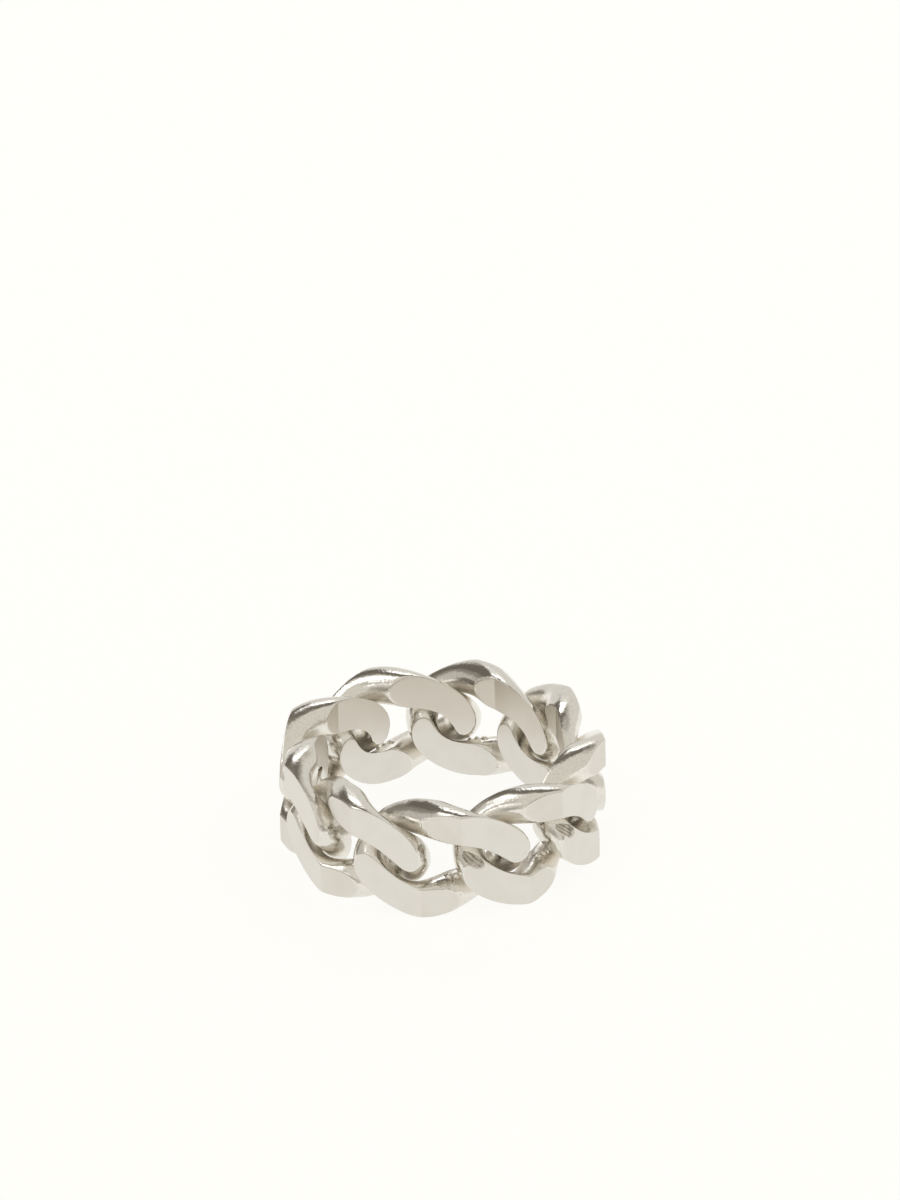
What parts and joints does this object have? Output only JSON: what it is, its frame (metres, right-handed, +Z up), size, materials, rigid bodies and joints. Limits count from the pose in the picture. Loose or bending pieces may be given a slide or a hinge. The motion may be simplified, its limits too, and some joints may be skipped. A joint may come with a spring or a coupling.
{
  "type": "chain link ring",
  "caption": "Finger ring made as a closed curb chain of thick twisted wire links, ground flat outside and inside, in polished silver.",
  "frame": {"origin": "on the ring's axis, in the plane that the ring lies on", "axes": "+Z up along the ring's axis; the front of the ring faces -Y, where link_1 is centred; +X to the right"},
  "size_m": [0.0256, 0.0252, 0.0094],
  "materials": {
    "silver": "polished silver, with satin ground flats outside and inside and a little tarnish in the crooks"
  },
  "bodies": {
    "root": {"link_1": "silver", "link_2": "silver", "link_3": "silver", "link_4": "silver", "link_5": "silver", "link_6": "silver", "link_7": "silver", "link_8": "silver", "link_9": "silver"}
  },
  "joints": []
}
